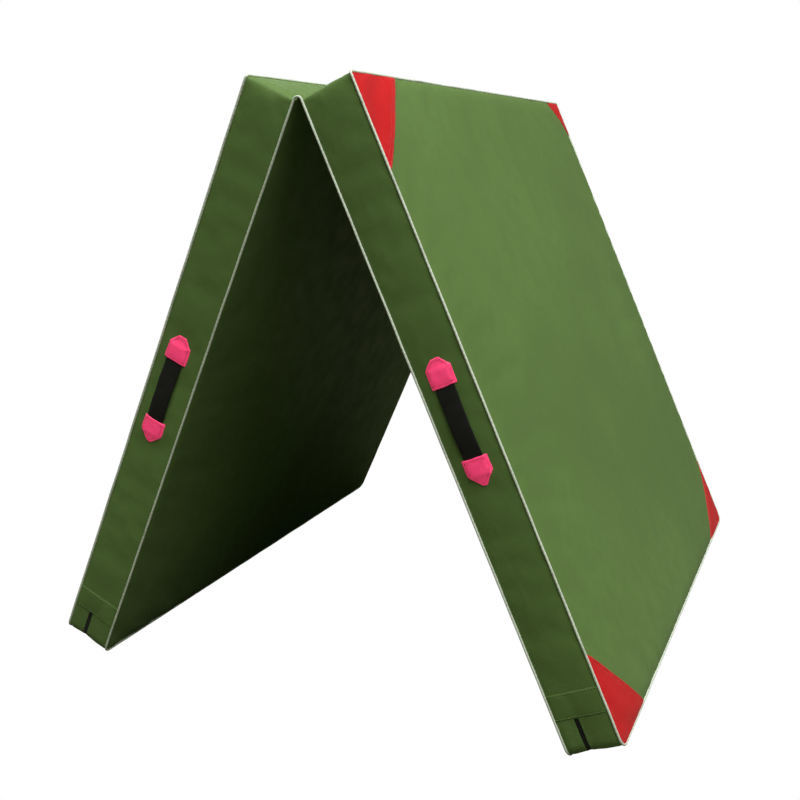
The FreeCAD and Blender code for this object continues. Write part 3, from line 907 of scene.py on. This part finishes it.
# ---- materials
class Shader:
    """A node material, with short calls for its nodes."""

    def __init__(self, name):
        self.material = bpy.data.materials.new(name)
        self.material.use_nodes = True
        self.nodes = self.material.node_tree.nodes
        self.links = self.material.node_tree.links
        self.surface = self.nodes["Principled BSDF"]

    def node(self, kind, inputs=(), **settings):
        """Adds a node; inputs are (socket, number, colour or output) pairs."""
        node = self.nodes.new("ShaderNode" + kind)
        for key, value in settings.items():
            setattr(node, key, value)
        for socket, value in dict(inputs).items():
            self.put(node, socket, value)
        return node

    def put(self, node, socket, value):
        if isinstance(value, bpy.types.NodeSocket):
            self.links.new(value, node.inputs[socket])
        else:
            node.inputs[socket].default_value = value

    def math(self, operation, a, b):
        return self.node("Math", {0: a, 1: b}, operation=operation).outputs[0]

    def remap(self, value, low, high, to_low, to_high):
        inputs = {"Value": value, "From Min": low, "From Max": high, "To Min": to_low, "To Max": to_high}
        return self.node("MapRange", inputs, interpolation_type="SMOOTHSTEP").outputs[0]

    def noise(self, size, detail=3.0, rough=0.55):
        """Noise through the solid piece."""
        inputs = {"Scale": 1 / size, "Detail": detail, "Roughness": rough}
        inputs["Vector"] = self.node("TexCoord").outputs["Object"]
        return self.node("TexNoise", inputs).outputs["Fac"]

    def bands(self, period, direction):
        """Threads side by side on the flat cloth: 0 between them and 1 on their tops."""
        inputs = {"Scale": math.pi / (10 * period)}
        inputs["Vector"] = self.node("UVMap", uv_map="Cloth").outputs[0]
        node = self.node("TexWave", inputs, wave_type="BANDS", bands_direction=direction)
        return node.outputs["Fac"]

    def mix(self, share, a, b):
        return self.node("Mix", {0: share, 6: a, 7: b}, data_type="RGBA").outputs[2]

    def relief(self, *layers):
        """Bumps the surface with (height, depth) layers, and returns the material."""
        scaled = [self.math("MULTIPLY", height, depth) for height, depth in layers]
        total = scaled[0]
        for layer in scaled[1:]:
            total = self.math("ADD", total, layer)
        bump = self.node("Bump", {"Height": total, "Strength": 1.0, "Distance": 1.0})
        self.put(self.surface, "Normal", bump.outputs[0])
        return self.material

    def set(self, **values):
        for name, value in values.items():
            self.put(self.surface, name.replace("_", " "), value)


def shade(colour, factor):
    """A colour made lighter or darker, with its alpha."""
    return (*[min(1.0, c * factor) for c in colour], 1.0)


def coated_cloth(name, colour, chalk, thread=0.9 * MM, painted_glow=0.0):
    """Cloth with a thin plastic coating: fine plain weave, soft grain, rubbed pale along its edges.

    Its last argument is painted light: an emission that keeps a fluorescent pink bright even where it lies in
    shade."""
    shader = Shader(name)
    weave = shader.math("MULTIPLY", shader.bands(thread, "X"), shader.bands(thread, "Y"))
    grain = shader.noise(3 * MM, 2)
    creases = shader.noise(35 * MM, 4, 0.6)
    clouds = shader.noise(0.28, 3)
    specks = shader.noise(9 * MM, 5, 0.7)
    base = shader.mix(shader.remap(clouds, 0.3, 0.7, 0, 1), shade(colour, 0.9), shade(colour, 1.08))
    base = shader.mix(shader.remap(creases, 0.35, 0.75, 0, 0.45), base, shade(colour, 0.8))
    # Painted shade: the cloth is darkened in the hollows between the threads.
    between = shader.math("MULTIPLY", shader.math("SUBTRACT", 1.0, weave), 0.14)
    base = shader.mix(between, base, shade(colour, 0.45))
    worn = shader.node("Attribute", attribute_name="wear").outputs["Fac"]
    rubbed = shader.math("MULTIPLY", worn, shader.remap(specks, 0.5, 0.72, 0, 0.25))
    base = shader.mix(rubbed, base, (*chalk, 1.0))
    roughness = shader.remap(creases, 0.3, 0.7, 0.49, 0.65)
    roughness = shader.math("ADD", roughness, shader.math("MULTIPLY", worn, 0.08))
    shader.set(Base_Color=base, Roughness=roughness, Sheen_Weight=0.04, Sheen_Roughness=0.45)
    shader.set(Specular_IOR_Level=0.2)
    # Painted light: an emission that makes the cloth glow of itself, whatever lamp falls on it.
    if painted_glow:
        shader.set(Emission_Color=shade(colour, 0.87), Emission_Strength=painted_glow)
    return shader.relief((weave, 0.05 * MM), (grain, 0.12 * MM), (creases, 0.35 * MM))


def woven_strap(name, colour, rib, cross):
    """Heavy webbing: ribs across it and rows of yarn along it."""
    shader = Shader(name)
    yarns = shader.math("MULTIPLY", shader.bands(cross, "Y"), 0.8)
    weave = shader.math("MAXIMUM", shader.bands(rib, "X"), yarns)
    fluff = shader.noise(1.5 * MM, 4, 0.7)
    # Painted light and shade: the webbing is drawn lighter on the ribs' tops and darker in the hollows between
    # them.
    base = shader.mix(weave, shade(colour, 0.45), shade(colour, 1.5))
    base = shader.mix(shader.remap(fluff, 0.55, 0.8, 0, 0.35), base, shade(colour, 3.0))
    shader.set(Base_Color=base, Roughness=shader.remap(fluff, 0.3, 0.7, 0.7, 0.92))
    shader.set(Sheen_Weight=0.05, Sheen_Roughness=0.5, Specular_IOR_Level=0.15)
    return shader.relief((weave, 0.22 * MM), (fluff, 0.12 * MM))


def welt(name, colour):
    """Coated strip wrapped over a cord: smooth, a little grubby."""
    shader = Shader(name)
    grime = shader.noise(40 * MM, 5, 0.65)
    base = shader.mix(shader.remap(grime, 0.42, 0.75, 0, 0.55), shade(colour, 1.05), shade(colour, 0.55))
    shader.set(Base_Color=base, Roughness=shader.remap(grime, 0.3, 0.7, 0.42, 0.62), Specular_IOR_Level=0.4)
    return shader.relief((shader.noise(2 * MM, 3), 0.1 * MM), (shader.bands(7 * MM, "X"), 0.12 * MM))


def sewing_thread(name, colour):
    """Twisted thread."""
    shader = Shader(name)
    strands = shader.noise(0.6 * MM, 2)
    base = shader.mix(shader.remap(strands, 0.35, 0.65, 0, 1), shade(colour, 0.6), shade(colour, 1.25))
    shader.set(Base_Color=base, Roughness=shader.remap(strands, 0.3, 0.7, 0.5, 0.75), Sheen_Weight=0.2)
    return shader.relief((strands, 0.1 * MM))


def hard(name, colour, rough, worn, metallic=0.0, coat=0.0):
    """Enamelled metal or moulded plastic, with small scratches."""
    shader = Shader(name)
    scratches = shader.noise(1.2 * MM, 6, 0.75)
    dust = shader.noise(6 * MM, 3)
    base = shader.mix(shader.remap(scratches, 0.6, 0.72, 0, 0.5), (*colour, 1.0), (*worn, 1.0))
    shader.set(Base_Color=base, Roughness=shader.remap(dust, 0.3, 0.7, rough - 0.08, rough + 0.12))
    shader.set(Metallic=metallic, Coat_Weight=coat, Coat_Roughness=0.2)
    return shader.relief((scratches, 0.03 * MM))




MATERIALS = {
    "green": coated_cloth("cover_green_cloth", (0.114, 0.2, 0.05), (0.3, 0.34, 0.24)),
    "red": coated_cloth("corner_red_cloth", (0.6, 0.008, 0.012), (0.75, 0.2, 0.18)),
    # The pink patches glow with painted light, so they stay bright in shade.
    "pink": coated_cloth("patch_pink_cloth", (1.0, 0.06, 0.2), (0.9, 0.45, 0.45), 0.7 * MM, painted_glow=0.41),
    "piping": welt("pale_welt", (0.6, 0.66, 0.55)),
    "webbing": woven_strap("black_webbing", (0.009, 0.009, 0.008), 2.2 * MM, 1.6 * MM),
    "tape": woven_strap("zip_tape", (0.013, 0.013, 0.014), 0.9 * MM, 0.9 * MM),
    "teeth": hard("zip_teeth", (0.008, 0.008, 0.009), 0.5, (0.03, 0.03, 0.03)),
    "enamel": hard("slider_enamel", (0.028, 0.028, 0.03), 0.3, (0.25, 0.25, 0.26), 0.4, 0.6),
    "red_thread": sewing_thread("red_thread", (0.5, 0.02, 0.02)),
    "pink_thread": sewing_thread("pink_thread", (0.6, 0.02, 0.07)),
    "green_thread": sewing_thread("green_thread", (0.1, 0.19, 0.055)),
}


# ---- studio
CAMERA_PLACE = (0.7266, -1.8059, 0.8303)
CAMERA_TURNS = ((23.905, "Z"), (76.882, "X"), (-0.312, "Z"))
CAMERA_LENS = 46.877
LAMP_CENTRE = Vector((0, 0, 0.5))
LAMP_DISTANCE = 6.5


def build_studio():
    """Camera, a broad key lamp, a fill lamp behind, a faint sky and a white floor."""
    scene = bpy.context.scene
    scene.view_settings.view_transform = "Standard"
    camera = new_object("camera", bpy.data.cameras.new("camera"))
    camera.location = CAMERA_PLACE
    yaw, pitch, roll = [Matrix.Rotation(math.radians(a), 3, axis) for a, axis in CAMERA_TURNS]
    camera.rotation_euler = (yaw @ pitch @ roll).to_euler()
    camera.data.lens = CAMERA_LENS
    camera.data.sensor_width = 36.0
    scene.camera = camera
    for name, watts, width, towards in (
        ("key", 690, 5.4, (0.285, -0.245, 0.925)),
        ("fill", 200, 7.0, (-0.76, 0.6, 0.25)),
    ):
        lamp = new_object(name, bpy.data.lights.new(name, "AREA"))
        lamp.data.shape = "DISK"
        lamp.data.energy = watts
        lamp.data.size = width
        lamp.location = Vector(towards) * LAMP_DISTANCE + LAMP_CENTRE
        lamp.rotation_euler = Vector(towards).to_track_quat("Z", "Y").to_euler()
    build_sky()
    build_floor()


def build_sky():
    """A white backdrop where it is looked at, and a faint sky in the light it gives."""
    world = bpy.data.worlds.new("sky")
    bpy.context.scene.world = world
    world.use_nodes = True
    nodes, links = world.node_tree.nodes, world.node_tree.links
    seen = nodes.new("ShaderNodeLightPath").outputs["Is Camera Ray"]
    colour = nodes.new("ShaderNodeMix")
    colour.data_type = "RGBA"
    colour.inputs[6].default_value = (0.115, 0.128, 0.08, 1)
    colour.inputs[7].default_value = (1, 1, 1, 1)
    links.new(seen, colour.inputs[0])
    links.new(colour.outputs[2], nodes["Background"].inputs["Color"])


def build_floor():
    """A wide floor, white where it is looked at and dim in the light it throws back."""
    mesh = bpy.data.meshes.new("floor")
    reach = 60.0
    corners = [(x * reach, y * reach, 0) for x, y in ((-1, -1), (1, -1), (1, 1), (-1, 1))]
    mesh.from_pydata(corners, [], [(0, 1, 2, 3)])
    floor = new_object("floor", mesh)
    shader = Shader("studio_floor")
    mesh.materials.append(shader.material)
    seen = shader.node("LightPath").outputs["Is Camera Ray"]
    white = shader.node("Emission", {"Color": (1, 1, 1, 1), "Strength": 1.0}).outputs[0]
    dim = shader.node("BsdfDiffuse", {"Color": (0.14, 0.14, 0.095, 1)}).outputs[0]
    both = shader.node("MixShader", {0: seen, 1: dim, 2: white}).outputs[0]
    shader.links.new(both, shader.nodes["Material Output"].inputs["Surface"])


def main():
    """Builds the studio, both panels and the fold between them."""
    build_studio()
    fields = swell_fields()
    for side in SIDES:
        panel = Panel(side, fields)
        green_thread = Thread()
        build_pad(panel)
        build_corners(panel)
        build_garages(panel, green_thread)
        build_zip(panel, green_thread)
        green_thread.finish("zip_stitching", panel, "green_thread")
        build_handles(panel)
        build_piping(panel)
        for node in (f"{side}_zip_slider", f"{side}_zip_pull"):
            looks = frame["nodes"][node].data.materials
            looks.clear()
            looks.append(MATERIALS["enamel"])
    build_fold()


main()
